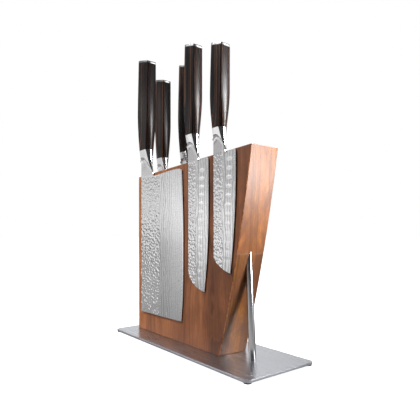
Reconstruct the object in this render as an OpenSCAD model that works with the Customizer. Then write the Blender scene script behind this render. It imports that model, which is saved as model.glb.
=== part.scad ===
// Magnetic knife block on a steel base plate, with five knives held on its faces.
// +X runs along the base towards the support rod, the front face looks to -Y, +Z is up.
// The origin is on the table, under the middle of the base plate.

/* [Base plate] */
// Length of the base plate
plate_len = 270; // [265:1:300]
// Depth of the base plate
plate_depth = 96.6; // [85:0.2:120]
// Thickness of the base plate
plate_t = 3; // [2.8:0.1:5]
// Radius of the plate's corners
plate_corner_r = 6; // [3:1:12]
// Height of the rubber feet
foot_h = 1.5; // [1:0.5:4]
// Diameter of the rubber feet
foot_d = 8; // [6:1:14]

/* [Wooden block] */
// Thickness of the block
block_t = 38.8; // [36:0.2:44]
// Where the block's upright side stands, left of the middle
block_left = 120.9; // [118:0.1:123]
// Right end of the block's bottom edge
foot_right = 60.3; // [56:0.1:64]
// Right end of the block's top edge
top_right = 110.3; // [106:0.1:114]
// Height of the block on its upright side
left_h = 213.8; // [211:0.1:216]
// Height of the block on its flared side
right_h = 223.9; // [221:0.1:226]
// How far the flared side bows out past a straight line
side_bow = 3.6; // [2:0.1:5]
// Width of one full wooden stave
stave_w = 60; // [58:0.5:62]

/* [Magnets] */
// Length of one bar magnet
magnet_len = 36; // [30:1:37]
// Height of one bar magnet
magnet_h = 10; // [6:1:12]
// Thickness of one bar magnet
magnet_t = 5; // [3:0.5:6]
// Wood left between the magnets and the face
magnet_cover = 2.4; // [1.5:0.1:4]

/* [Support rod] */
// Diameter of the support rod
rod_d = 7.6; // [6:0.2:9]
// Where the rod stands on the plate, right of the middle
rod_x = 91.6; // [90:0.2:93]
// Lean of the rod towards the block, in degrees
rod_lean = 3; // [2:0.1:3.5]
// Height of the rod's hidden end above the plate
rod_top = 136; // [125:1:145]

/* [Knife stock] */
// Thickness of the blades
blade_t = 2.2; // [1.8:0.1:2.6]
// Thickness left along the cutting edges
edge_t = 0.3; // [0.2:0.1:0.6]
// Gap between a blade and the block's face
blade_gap = 0.1; // [0.1:0.05:0.5]
// Thickness of the steel end caps
cap_t = 3; // [2:0.5:5]

/* [Cleaver] */
// Spine of the cleaver, from the middle of the plate
cleaver_x = -109.4; // [-112:0.2:-107]
// Blade width at the cleaver's heel
cleaver_w = 99.2; // [92:0.1:102]
// Blade length of the cleaver
cleaver_len = 188.4; // [170:0.2:200]
// Width of the cleaver's handle
cleaver_grip_w = 28.5; // [25:0.5:31]
// Length of the cleaver's wooden grip
cleaver_grip_len = 119.5; // [100:0.5:130]

/* [Santoku] */
// Spine of the santoku, from the middle of the plate
santoku_x = 4.2; // [2:0.2:7]
// Blade width at the santoku's heel
santoku_w = 37.9; // [34:0.1:42]
// Blade length of the santoku
santoku_len = 151.5; // [140:0.5:165]
// Width of the santoku's handle
santoku_grip_w = 22; // [19:0.5:24]
// Length of the santoku's wooden grip
santoku_grip_len = 102.5; // [90:0.5:120]

/* [Small santoku] */
// Spine of the small santoku, from the middle of the plate
small_x = 52.3; // [51:0.1:54]
// Blade width at the small santoku's heel
small_w = 36; // [32:0.1:38]
// Blade length of the small santoku
small_len = 130; // [115:0.5:140]
// Width of the small santoku's handle
small_grip_w = 20.5; // [18:0.5:22]
// Length of the small santoku's wooden grip
small_grip_len = 88.5; // [80:0.5:100]

/* [Chef's knife] */
// Spine of the chef's knife, from the middle of the plate
chef_x = -133.5; // [-134:0.1:-130]
// Blade width at the chef's knife's heel
chef_w = 46; // [40:0.5:50]
// Blade length of the chef's knife
chef_len = 198; // [180:1:203]
// Width of the chef's knife's handle
chef_grip_w = 25; // [21:0.5:26]
// Length of the chef's knife's wooden grip
chef_grip_len = 112.5; // [100:0.5:125]

/* [Slicing knife] */
// Spine of the slicing knife, from the middle of the plate
slicer_x = -71.5; // [-76:0.1:-68]
// Blade width at the slicing knife's heel
slicer_w = 33; // [30:0.5:38]
// Blade length of the slicing knife
slicer_len = 200; // [180:1:204]
// Width of the slicing knife's handle
slicer_grip_w = 25; // [21:0.5:26]
// Length of the slicing knife's wooden grip
slicer_grip_len = 115; // [100:0.5:125]

/* [Hidden] */

$fn = 48;
eps = 0.01;
cut = 1;

steel = [0.78, 0.79, 0.81];
satin_steel = [0.68, 0.69, 0.71];
walnut = [0.52, 0.31, 0.19];
pale_walnut = [0.62, 0.40, 0.24];
dark_wood = [0.12, 0.10, 0.10];
black_rubber = [0.05, 0.05, 0.05];
zinc = [0.60, 0.60, 0.58];

plate_top = foot_h + plate_t;
foot_rim = 1;
foot_inset = foot_d / 2 + foot_rim;

// The flared side is part of a circle through both ends of the side.
side_run = [top_right - foot_right, right_h];
side_chord = norm(side_run);
side_r = side_chord * side_chord / (8 * side_bow) + side_bow / 2;
side_mid = [(foot_right + top_right) / 2, right_h / 2];
side_centre = side_mid - (side_r - side_bow) * [side_run[1], -side_run[0]] / side_chord;
big = 300;

// The seams between the staves, from left to right.
first_seam = -91;
seams = [-big, first_seam, first_seam + stave_w, first_seam + 2 * stave_w,
    first_seam + 3 * stave_w, big];

// Rows of bar magnets, as [height above the plate, number of bars].
magnet_rows = [[65, 4], [170, 5]];
magnet_pitch = 40;
magnet_start = -114;
magnet_slack = 0.2;
magnet_y = block_t / 2 - magnet_cover - magnet_t / 2;

// Wood screws that hold each standing stave from below.
screw_x = [-105, -60, 0, 45];
screw_d = 4;
screw_len = 36;
screw_head_d = 8;
screw_head_h = 2.4;
screw_fit = 0.1;
rod_screw_d = 4;
rod_screw_len = 18;
rod_fit = 0.05;
recess_w = 0.9;
recess_len = 4.4;
recess_depth = 1.6;

// A knife is [spine x, side of the block, heel height, neck height, grip width,
// grip thickness, grip length, middle of the grip from the spine], then three points of
// the arc where the flat of the neck ends: its left end, its peak and its foot.
front = -1;
back = 1;
cleaver = [cleaver_x, front, plate_top + 213.6, 34.4, cleaver_grip_w, 14.6,
    cleaver_grip_len, 12.6, [-0.9, 20.6], [8.4, 24.1], [31, 1.4]];
santoku = [santoku_x, front, plate_top + 219.5, 30, santoku_grip_w, 13.6,
    santoku_grip_len, 7.5, [-1.9, 17], [6.6, 20.9], [18.9, 1.6]];
small_santoku = [small_x, front, plate_top + 222, 26, small_grip_w, 14,
    small_grip_len, 9.2, [-0.1, 14.8], [7.2, 18.3], [19.2, 1.6]];
chef_knife = [chef_x, back, plate_top + 214.5, 30.5, chef_grip_w, 14,
    chef_grip_len, 12, [0.4, 17.6], [9, 21.4], [22.6, 1.6]];
slicing_knife = [slicer_x, back, plate_top + 216.5, 28.5, slicer_grip_w, 14,
    slicer_grip_len, 11.5, [-0.1, 16], [8.6, 19.5], [22.4, 1.6]];

// Sections of a grip from the collar to the butt, as [share of the grip's length, share
// of its width and thickness, corner cut].
collar_ratio = 0.86;
collar_chamfer = 3.5;
waist = [0.1, 0.94, 3];
belly = [0.32, 1, 2.2];
butt_ratio = 0.93;
butt_chamfer = 1.2;
butt_tilt = 15;
butt_shift = 1;
tang_w = 8;
tang_ratio = 0.75;
shoulder_drop = 4;
bolster_wall = 0.7;
flank_foot = 3;
flank_wall = 0.4;
flank_inset = 1.5;
arc_swell = 1;
arc_fall = 3;
bevel_w = 4;

function spine_x(k) = k[0];
function face_side(k) = k[1];
function heel_z(k) = k[2];
function neck_h(k) = k[3];
function grip_w(k) = k[4];
function grip_t(k) = k[5];
function grip_len(k) = k[6];
function grip_x(k) = k[7];
function arc_left(k) = k[8];
function arc_peak(k) = k[9];
function arc_foot(k) = k[10];
function collar_w(k) = grip_w(k) * collar_ratio;
function blade_y(k) = face_side(k) * (block_t / 2 + blade_gap + blade_t / 2);

// Points from a to b on a shallow curve that bulges by sag to the right of the way.
function bow(a, b, sag, n = 10) = [
    for (i = [0:n])
        let (t = i / n, way = b - a, right = [way[1], -way[0]] / norm(way))
        a + way * t + right * sag * 4 * t * (1 - t)
];

// Section of a bar with its four corners cut off.
function cut_corners(w, t, c) = [
    [w / 2 - c, -t / 2], [w / 2, -t / 2 + c], [w / 2, t / 2 - c], [w / 2 - c, t / 2],
    [-w / 2 + c, t / 2], [-w / 2, t / 2 - c], [-w / 2, -t / 2 + c], [-w / 2 + c, -t / 2]
];

// ---------------------------------------------------------------- stand

// Stands an outline drawn in x and z upright, centred on y = 0.
module upright(thickness) {
    rotate([90, 0, 0])
        linear_extrude(height = thickness, center = true)
            children();
}

// Countersunk screw pointing up, with its head's face at z = 0.
module screw(d, length, head_d) {
    difference() {
        union() {
            cylinder(h = screw_head_h, r1 = head_d / 2, r2 = d / 2);
            cylinder(h = length - d, r = d / 2);
            translate([0, 0, length - d])
                cylinder(h = d, r1 = d / 2, r2 = d / 8);
        }
        for (turn = [0, 90])
            rotate([0, 0, turn])
                translate([-recess_len / 2, -recess_w / 2, -cut])
                    cube([recess_len, recess_w, recess_depth + cut]);
    }
}

// Clearance hole and countersink for a screw, from the underside of the plate.
module screw_hole(d, head_d) {
    cylinder(h = plate_t + cut, r = d / 2 + screw_fit);
    cylinder(h = screw_head_h, r1 = head_d / 2 + screw_fit, r2 = d / 2 + screw_fit);
}

module base_plate() {
    inner_x = plate_len / 2 - plate_corner_r;
    inner_y = plate_depth / 2 - plate_corner_r;
    color(satin_steel)
        translate([0, 0, foot_h])
            difference() {
                union() {
                    translate([-inner_x, -plate_depth / 2, 0])
                        cube([2 * inner_x, plate_depth, plate_t]);
                    translate([-plate_len / 2, -inner_y, 0])
                        cube([plate_len, 2 * inner_y, plate_t]);
                    for (x = [-inner_x, inner_x], y = [-inner_y, inner_y])
                        translate([x, y, 0])
                            cylinder(h = plate_t, r = plate_corner_r);
                }
                for (x = screw_x)
                    translate([x, 0, 0])
                        screw_hole(screw_d, screw_head_d);
                translate([rod_x, 0, 0])
                    screw_hole(rod_screw_d, screw_head_d);
            }
}

module rubber_feet() {
    foot_x = plate_len / 2 - foot_inset;
    foot_y = plate_depth / 2 - foot_inset;
    color(black_rubber)
        for (x = [-foot_x, foot_x], y = [-foot_y, foot_y])
            translate([x, y, 0])
                cylinder(h = foot_h, r = foot_d / 2);
}

module block_screws() {
    color(zinc)
        for (x = screw_x)
            translate([x, 0, foot_h])
                screw(screw_d, screw_len, screw_head_d);
}

module rod_screw() {
    color(zinc)
        translate([rod_x, 0, foot_h])
            screw(rod_screw_d, rod_screw_len, screw_head_d);
}

// Cylinder on the rod's leaning axis, long enough to pass the plate and the rod's end.
module rod_core(r, z0, z1) {
    translate([rod_x, 0, plate_top])
        rotate([0, -rod_lean, 0])
            translate([0, 0, z0])
                cylinder(h = z1 - z0, r = r);
}

module support_rod() {
    color(steel)
        difference() {
            rod_core(rod_d / 2, -rod_d, rod_top);
            translate([rod_x - big / 2, -big / 2, plate_top - big])
                cube([big, big, big]);
            translate([rod_x, 0, 0])
                cylinder(h = foot_h + rod_screw_len + cut, r = rod_screw_d / 2 + screw_fit);
        }
}

// The whole outline of the block, with its right side cut to the circle.
module block_body() {
    intersection() {
        translate([0, 0, plate_top])
            upright(block_t)
                polygon([
                    [-block_left, 0], [top_right + side_bow, 0],
                    [top_right + side_bow, right_h + side_bow * (right_h - left_h)
                        / (block_left + top_right)],
                    [-block_left, left_h]
                ]);
        translate([side_centre[0], 0, plate_top + side_centre[1]])
            rotate([90, 0, 0])
                cylinder(h = block_t + cut, r = side_r, center = true, $fn = 360);
    }
}

module magnet_slots() {
    for (row = magnet_rows, side = [front, back])
        translate([
            magnet_start - magnet_slack,
            side * magnet_y - magnet_t / 2 - magnet_slack,
            plate_top + row[0] - magnet_h / 2 - magnet_slack
        ])
            cube([
                (row[1] - 1) * magnet_pitch + magnet_len + 2 * magnet_slack,
                magnet_t + 2 * magnet_slack,
                magnet_h + 2 * magnet_slack
            ]);
}

// Stave number i, counted from the upright side, without anything cut inside it.
module stave_blank(i) {
    intersection() {
        block_body();
        translate([seams[i - 1], -block_t, 0])
            cube([seams[i] - seams[i - 1], 2 * block_t, 2 * big]);
    }
}

module screw_bore(i) {
    translate([screw_x[i - 1], 0, plate_top - cut])
        cylinder(h = screw_len - plate_t + 2 * cut, r = screw_d / 2 + screw_fit);
}

module block_stave_1() {
    color(walnut)
        difference() {
            stave_blank(1);
            magnet_slots();
            screw_bore(1);
        }
}

module block_stave_2() {
    color(pale_walnut)
        difference() {
            stave_blank(2);
            magnet_slots();
            screw_bore(2);
        }
}

module block_stave_3() {
    color(walnut)
        difference() {
            stave_blank(3);
            magnet_slots();
            screw_bore(3);
        }
}

module block_stave_4() {
    color(pale_walnut)
        difference() {
            stave_blank(4);
            magnet_slots();
            screw_bore(4);
            rod_core(rod_d / 2 + rod_fit, 0, rod_top + cut);
        }
}

module block_stave_5() {
    color(walnut)
        difference() {
            stave_blank(5);
            rod_core(rod_d / 2 + rod_fit, 0, rod_top + cut);
        }
}

module bar_magnets() {
    color(zinc)
        for (row = magnet_rows, side = [front, back], i = [0:row[1] - 1])
            translate([
                magnet_start + i * magnet_pitch,
                side * magnet_y - magnet_t / 2,
                plate_top + row[0] - magnet_h / 2
            ])
                cube([magnet_len, magnet_t, magnet_h]);
}

// ---------------------------------------------------------------- knives
// A knife is drawn with its spine on x = 0, its edge towards +x and its heel at z = 0.

module place(k) {
    translate([spine_x(k), blade_y(k), heel_z(k)])
        children();
}

// Blade of full thickness that thins to the edge. The first child is the flat of the
// blade, the second its whole outline.
module ground_blade() {
    hull() {
        upright(blade_t)
            children(0);
        upright(edge_t)
            children(1);
    }
}

// Neck between the heel and the bolster, with the tang that goes on into the grip.
module neck_and_tang(k, heel_x, sink) {
    left = grip_x(k) - collar_w(k) / 2 + bolster_wall;
    right = grip_x(k) + collar_w(k) / 2 - bolster_wall;
    shoulder = neck_h(k) - shoulder_drop;
    tang_end = neck_h(k) + grip_len(k) * tang_ratio;
    upright(blade_t)
        polygon(concat(
            [[left, shoulder], [0, -sink], [heel_x, -sink]],
            bow([heel_x, 0], [right, shoulder], -cut),
            [[grip_x(k) + tang_w / 2, shoulder], [grip_x(k) + tang_w / 2, tang_end],
                [grip_x(k) - tang_w / 2, tang_end], [grip_x(k) - tang_w / 2, shoulder]]
        ));
}

module ring(w, t, c, z) {
    translate([0, 0, z])
        linear_extrude(height = eps)
            polygon(cut_corners(w, t, c));
}

// Slot for the tang, a little wider than it.
module tang_slot(k, z0, z1) {
    translate([grip_x(k) - tang_w / 2 - screw_fit, -blade_t / 2 - screw_fit, z0])
        cube([tang_w + 2 * screw_fit, blade_t + 2 * screw_fit, z1 - z0]);
}

// Area of the neck below the arc, where the blade's own flat shows on both faces.
module neck_flat(k) {
    polygon(concat(
        [[-big, -big], [-big, arc_left(k)[1]]],
        bow(arc_left(k), arc_peak(k), -arc_swell),
        bow(arc_peak(k), arc_foot(k), -arc_fall),
        [[arc_foot(k)[0], -big]]
    ));
}

// Steel collar that tapers from the grip's eight-sided section into the blade. The flat
// of the neck is cut into it up to an arc, so its flank runs on down beside the neck.
module bolster(k) {
    collar_t = grip_t(k) * collar_ratio;
    shoulder = neck_h(k) - shoulder_drop;
    foot_left = bolster_wall;
    foot_right = arc_foot(k)[0] - flank_inset;
    color(steel)
        place(k)
            difference() {
                hull() {
                    translate([grip_x(k), 0, 0])
                        ring(collar_w(k), collar_t, collar_chamfer, neck_h(k) - eps);
                    translate([(foot_left + foot_right) / 2, 0, 0])
                        ring(foot_right - foot_left, blade_t + 2 * flank_wall, flank_wall,
                            flank_foot);
                }
                translate([-big / 2, -blade_t / 2, shoulder - big])
                    cube([big, blade_t, big]);
                upright(big)
                    neck_flat(k);
                tang_slot(k, 0, neck_h(k) + cut);
            }
}

// Section of a grip at one of its stations.
module grip_ring(k, station) {
    translate([grip_x(k), 0, 0])
        ring(grip_w(k) * station[1], grip_t(k) * station[1], station[2],
            neck_h(k) + grip_len(k) * station[0]);
}

// Moves its children to the butt, which slants up towards the spine.
module at_butt(k) {
    translate([grip_x(k) + butt_shift, 0, neck_h(k) + grip_len(k)])
        rotate([0, butt_tilt, 0])
            children();
}

// Section of the butt, less a rim, at a height above the slanted end of the wood.
module butt_ring(k, rim, z) {
    ring(grip_w(k) * butt_ratio / cos(butt_tilt) - rim, grip_t(k) * butt_ratio - rim,
        butt_chamfer, z);
}

module handle(k) {
    collar = [0, collar_ratio, collar_chamfer];
    color(dark_wood)
        place(k)
            difference() {
                union() {
                    hull() {
                        grip_ring(k, collar);
                        grip_ring(k, waist);
                    }
                    hull() {
                        grip_ring(k, waist);
                        grip_ring(k, belly);
                    }
                    hull() {
                        grip_ring(k, belly);
                        at_butt(k)
                            butt_ring(k, 0, -eps);
                    }
                }
                tang_slot(k, 0, neck_h(k) + grip_len(k) * tang_ratio + cut);
            }
}

module end_cap(k) {
    rim = 1.2;
    color(steel)
        place(k)
            at_butt(k)
                hull() {
                    butt_ring(k, 0, 0);
                    butt_ring(k, 0, cap_t - rim);
                    butt_ring(k, rim, cap_t - eps);
                }
}

// Broad rectangular blade. The outline is drawn with its edge moved in by inset.
module cleaver_outline(inset) {
    sweep = 2.6;
    corner = 3;
    polygon(concat(
        [[0, -3], [0, -cleaver_len]],
        bow([cleaver_w - inset, -cleaver_len], [cleaver_w - inset, -corner], sweep),
        [[cleaver_w - inset - corner, 0]]
    ));
}

module cleaver_blade() {
    color(satin_steel)
        place(cleaver)
            union() {
                ground_blade() {
                    cleaver_outline(bevel_w);
                    cleaver_outline(0);
                }
                neck_and_tang(cleaver, 31, 6);
            }
}

// Blade whose spine drops in a round nose to a point at the cutting edge. The point
// stands at tip_share of the width.
module santoku_outline(w, length, nose, tip_share, inset) {
    sweep = w / 12;
    tip_x = w * tip_share - inset;
    corner = 2;
    polygon(concat(
        [[0, 0], [0, -length + nose]],
        bow([nose / 6, -length + nose * 0.65], [tip_x, -length], nose / 12),
        bow([tip_x, -length], [w - inset, -corner], sweep),
        [[w - inset - corner, 0]]
    ));
}

module santoku_blade() {
    color(satin_steel)
        place(santoku)
            union() {
                ground_blade() {
                    santoku_outline(santoku_w, santoku_len, 20, 0.8, bevel_w);
                    santoku_outline(santoku_w, santoku_len, 20, 0.8, 0);
                }
                neck_and_tang(santoku, 22, 6);
            }
}

module small_santoku_blade() {
    color(satin_steel)
        place(small_santoku)
            union() {
                ground_blade() {
                    santoku_outline(small_w, small_len, 15, 0.76, bevel_w);
                    santoku_outline(small_w, small_len, 15, 0.76, 0);
                }
                neck_and_tang(small_santoku, 21.5, 6);
            }
}

// Pointed blade whose edge sweeps up to the spine line.
module pointed_outline(w, length, inset) {
    tip_x = w * 0.22;
    corner = 2;
    polygon(concat(
        [[0, 0], [0, -length * 0.62]],
        bow([0, -length * 0.62], [tip_x, -length + inset], w / 40),
        bow([tip_x, -length + inset], [w - inset, -length * 0.42], w / 10),
        [[w - inset, -corner], [w - inset - corner, 0]]
    ));
}

module chef_knife_blade() {
    color(satin_steel)
        place(chef_knife)
            union() {
                ground_blade() {
                    pointed_outline(chef_w, chef_len, bevel_w);
                    pointed_outline(chef_w, chef_len, 0);
                }
                neck_and_tang(chef_knife, 26, 6);
            }
}

module slicing_knife_blade() {
    color(satin_steel)
        place(slicing_knife)
            union() {
                ground_blade() {
                    pointed_outline(slicer_w, slicer_len, bevel_w);
                    pointed_outline(slicer_w, slicer_len, 0);
                }
                neck_and_tang(slicing_knife, 26, 6);
            }
}

base_plate();
rubber_feet();
block_screws();
rod_screw();
support_rod();
block_stave_1();
block_stave_2();
block_stave_3();
block_stave_4();
block_stave_5();
bar_magnets();
cleaver_blade();
bolster(cleaver);  // cleaver_bolster
handle(cleaver);  // cleaver_handle
end_cap(cleaver);  // cleaver_end_cap
santoku_blade();
bolster(santoku);  // santoku_bolster
handle(santoku);  // santoku_handle
end_cap(santoku);  // santoku_end_cap
small_santoku_blade();
bolster(small_santoku);  // small_santoku_bolster
handle(small_santoku);  // small_santoku_handle
end_cap(small_santoku);  // small_santoku_end_cap
chef_knife_blade();
bolster(chef_knife);  // chef_knife_bolster
handle(chef_knife);  // chef_knife_handle
end_cap(chef_knife);  // chef_knife_end_cap
slicing_knife_blade();
bolster(slicing_knife);  // slicing_knife_bolster
handle(slicing_knife);  // slicing_knife_handle
end_cap(slicing_knife);  // slicing_knife_end_cap
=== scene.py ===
"""Magnetic knife block with five knives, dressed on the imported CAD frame.

Shapes are in millimetres in the CAD's own frame and are scaled by MM on the way out. The
studio and the materials are in metres. A knife is drawn like its CAD: spine on x = 0, cutting
edge towards +x, heel at z = 0.
"""

import math

import bmesh
import bpy
import numpy as np
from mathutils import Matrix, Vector
from mathutils.geometry import delaunay_2d_cdt


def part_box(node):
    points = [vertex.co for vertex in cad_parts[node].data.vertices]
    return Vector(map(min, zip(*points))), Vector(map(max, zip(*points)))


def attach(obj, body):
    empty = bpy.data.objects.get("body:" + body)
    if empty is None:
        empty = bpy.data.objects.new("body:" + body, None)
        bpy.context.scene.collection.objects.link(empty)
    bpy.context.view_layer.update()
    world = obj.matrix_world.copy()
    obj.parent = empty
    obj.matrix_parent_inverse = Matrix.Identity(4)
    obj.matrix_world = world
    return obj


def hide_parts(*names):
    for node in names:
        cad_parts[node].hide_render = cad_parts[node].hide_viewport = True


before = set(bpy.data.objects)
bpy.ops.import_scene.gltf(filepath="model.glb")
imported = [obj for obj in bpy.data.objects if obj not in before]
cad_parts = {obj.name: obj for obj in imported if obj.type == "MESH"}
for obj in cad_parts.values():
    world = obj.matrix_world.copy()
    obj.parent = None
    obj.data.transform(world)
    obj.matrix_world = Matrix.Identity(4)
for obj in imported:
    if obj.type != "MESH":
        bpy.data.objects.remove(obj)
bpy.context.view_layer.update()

MM = 0.001


def node_box(name):
    low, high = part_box(name)
    return np.array(low) / MM, np.array(high) / MM


PLATE_HIGH = node_box("base_plate")[1]
BLOCK_LOW, BLOCK_HIGH = node_box("block_stave_2")
PLATE_TOP = PLATE_HIGH[2]
BLOCK_HALF = BLOCK_HIGH[1]
BLADE_HALF = 1.1
BLADE_GAP = 0.1

KNIVES = {
    "cleaver": dict(
        side=-1, spine=-109.4, heel=PLATE_TOP + 213.6, neck=34.4, w=28.5, t=14.6,
        grip=119.5, cx=12.6, cut=4.0, seed=3, streaks=(-8.5, 0.50),
        arc=[(-0.9, 20.6), (3.0, 23.2), (8.4, 24.1), (13.0, 22.6), (19.8, 16.9),
             (27.0, 8.4), (31.0, 1.4)],
        right=[(34.4, 24.85), (24.0, 25.4), (15.0, 26.6), (8.0, 28.6), (3.0, 30.9)]),
    "santoku": dict(
        side=-1, spine=4.2, heel=PLATE_TOP + 219.5, neck=30.0, w=22.0, t=13.6,
        grip=102.5, cx=7.5, cut=3.5, seed=11, streaks=(-6.5, 0.42),
        arc=[(-1.9, 17.0), (1.5, 19.8), (6.6, 20.9), (11.5, 18.6), (15.6, 12.6),
             (17.4, 7.0), (18.9, 1.6)],
        right=[(30.0, 16.96), (20.0, 17.1), (12.0, 17.7), (6.0, 18.7), (1.0, 20.8)]),
    "small_santoku": dict(
        side=-1, spine=52.3, heel=PLATE_TOP + 222.0, neck=26.0, w=20.5, t=14.0,
        grip=88.5, cx=9.2, cut=3.5, seed=23, streaks=(-5.0, 0.30),
        arc=[(-0.1, 14.8), (3.0, 17.4), (7.2, 18.3), (12.0, 16.2), (16.0, 11.0),
             (17.8, 6.0), (19.2, 1.6)],
        right=[(26.0, 18.0), (18.0, 18.0), (11.0, 18.2), (5.0, 19.2), (1.0, 21.0)]),
    "chef_knife": dict(
        side=1, spine=-133.5, heel=PLATE_TOP + 214.5, neck=30.5, w=25.0, t=14.0,
        grip=112.5, cx=12.0, cut=3.6, seed=37, streaks=(2.0, 0.2),
        arc=[(0.4, 17.6), (4.0, 20.4), (9.0, 21.4), (14.0, 19.4), (18.4, 13.4),
             (20.8, 7.4), (22.6, 1.6)],
        right=[(30.5, 22.75), (20.0, 22.6), (12.0, 22.4), (6.0, 22.8), (1.0, 24.4)]),
    "slicing_knife": dict(
        side=1, spine=-71.5, heel=PLATE_TOP + 216.5, neck=28.5, w=25.0, t=14.0,
        grip=115.0, cx=11.5, cut=3.6, seed=41, streaks=(-7.5, 0.45),
        arc=[(-0.1, 16.0), (3.6, 18.6), (8.6, 19.5), (13.6, 17.6), (18.2, 12.2),
             (20.6, 6.6), (22.4, 1.6)],
        right=[(28.5, 22.25), (20.0, 22.2), (12.0, 22.0), (6.0, 22.4), (1.0, 23.8)]),
}

for knife_name, knife in KNIVES.items():
    knife["name"] = knife_name

# blade
EDGE_HALF = 0.15
EDGE_BEVEL = 1.3
SHOULDER_HALF = 0.43
HAMMER_PITCH = 3.9
HAMMER_DEPTH = 0.32
DIMPLE_DEPTH = 0.17
DIMPLE_RX, DIMPLE_RZ = 4.9, 2.5

# neck and bolster
BOLSTER_FOOT = 3.0
BOLSTER_SHARE = 0.86
BOLSTER_CROWN = 0.60
BOLSTER_STEP = 0.55
COLLAR_REACH = 0.43
NECK_SWELL = 1.5
NECK_RUN = 2.4
LEDGE_SLOPE = 1.8
WALL_BULGE = 0.17

# grip and cap
GRIP_SCALE = [(0.0, 0.86), (0.04, 0.885), (0.1, 0.925), (0.18, 0.965), (0.28, 0.99),
              (0.4, 1.0), (0.6, 0.985), (0.8, 0.955), (1.0, 0.93)]
BUTT_TILT = math.tan(math.radians(15))
BUTT_SHIFT = 1.0
CAP_T = 3.0
CAP_RIM = 1.1

# stand
PLATE_CORNER = 6.5
PLATE_EASE = 0.45
BLOCK_EASE = 0.7
FOOT_RADIUS = 4.0
ROD_RADIUS = 3.8
ROD_LENGTH = 136.0
ROD_LEAN = math.radians(3)

# layer lines down the blades, in metres, and tints of the block's wood
LAYER_SPACING = 0.0044
WOOD_WARMTH = (1.20, 0.98, 0.80)
PLAIN_FLANK = (1.4, 1.2, 0.52)


# ------------------------------------------------------------------ node helpers

class Nodes:
    """Short hand for building a node tree."""

    def __init__(self, tree):
        self.tree = tree

    def node(self, kind, **settings):
        made = self.tree.nodes.new(kind)
        for key, value in settings.items():
            setattr(made, key, value)
        return made

    def put(self, socket, value):
        if isinstance(value, bpy.types.NodeSocket):
            self.tree.links.new(value, socket)
        elif value is not None:
            socket.default_value = value

    def math(self, operation, a, b=None, c=None, clamp=False):
        n = self.node("ShaderNodeMath", operation=operation, use_clamp=clamp)
        for socket, value in zip(n.inputs, (a, b, c)):
            self.put(socket, value)
        return n.outputs[0]

    def times(self, a, b):
        return self.math("MULTIPLY", a, b)

    def minus(self, a, b):
        return self.math("SUBTRACT", a, b)

    def fused(self, a, b, c):
        """a times b, plus c."""
        return self.math("MULTIPLY_ADD", a, b, c)

    def remap(self, value, a, b, c, d, smooth=False):
        """Takes a to c and b to d, and stays between c and d."""
        n = self.node("ShaderNodeMapRange")
        if smooth:
            n.interpolation_type = "SMOOTHSTEP"
        self.put(n.inputs["Value"], value)
        for key, number in zip(("From Min", "From Max", "To Min", "To Max"), (a, b, c, d)):
            n.inputs[key].default_value = number
        return n.outputs["Result"]

    def split(self, vector):
        n = self.node("ShaderNodeSeparateXYZ")
        self.put(n.inputs[0], vector)
        return n.outputs

    def by_camera_ray(self, others, camera):
        """One shader for rays from the camera and another for all other rays."""
        n = self.node("ShaderNodeMixShader")
        self.put(n.inputs[0], self.node("ShaderNodeLightPath").outputs["Is Camera Ray"])
        self.put(n.inputs[1], others.outputs[0])
        self.put(n.inputs[2], camera.outputs[0])
        return n.outputs[0]


class Shader(Nodes):
    """One material's node tree."""

    def __init__(self, name):
        self.material = bpy.data.materials.new(name)
        self.material.use_nodes = True
        super().__init__(self.material.node_tree)
        self.bsdf = self.tree.nodes["Principled BSDF"]

    def place(self):
        return self.node("ShaderNodeTexCoord").outputs["Object"]

    def mapping(self, vector, scale=(1, 1, 1), location=(0, 0, 0)):
        n = self.node("ShaderNodeMapping")
        self.put(n.inputs["Vector"], vector)
        n.inputs["Scale"].default_value = scale
        n.inputs["Location"].default_value = location
        return n.outputs["Vector"]

    def noise(self, vector, scale, detail=3.0, rough=0.55, warp=0.0):
        n = self.node("ShaderNodeTexNoise")
        self.put(n.inputs["Vector"], vector)
        n.inputs["Scale"].default_value = scale
        n.inputs["Detail"].default_value = detail
        n.inputs["Roughness"].default_value = rough
        n.inputs["Distortion"].default_value = warp
        return n.outputs["Fac"]

    def ramp(self, value, stops):
        n = self.node("ShaderNodeValToRGB")
        self.put(n.inputs["Fac"], value)
        elements = n.color_ramp.elements
        while len(elements) < len(stops):
            elements.new(0.5)
        for element, (position, colour) in zip(elements, stops):
            element.position = position
            element.color = (*colour, 1)
        return n.outputs["Color"]

    def mix(self, factor, a, b, kind="MIX"):
        n = self.node("ShaderNodeMix", data_type="RGBA", blend_type=kind)
        self.put(n.inputs[0], factor)
        for socket, value in ((n.inputs[6], a), (n.inputs[7], b)):
            self.put(socket, (*value, 1) if isinstance(value, tuple) else value)
        return n.outputs[2]

    def join(self, x=0.0, y=0.0, z=0.0):
        n = self.node("ShaderNodeCombineXYZ")
        for socket, value in zip(n.inputs, (x, y, z)):
            self.put(socket, value)
        return n.outputs[0]

    def bump(self, height, strength, distance):
        n = self.node("ShaderNodeBump")
        self.put(n.inputs["Height"], height)
        n.inputs["Strength"].default_value = strength
        n.inputs["Distance"].default_value = distance
        self.put(self.bsdf.inputs["Normal"], n.outputs[0])

    def surface(self, **sockets):
        for key, value in sockets.items():
            self.put(self.bsdf.inputs[key.replace("_", " ")], value)
        return self.material


# ------------------------------------------------------------------ materials

def scaled(colour, by):
    return tuple(c * by for c in colour)


def warmed(colour):
    return tuple(a * b for a, b in zip(colour, WOOD_WARMTH))


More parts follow.
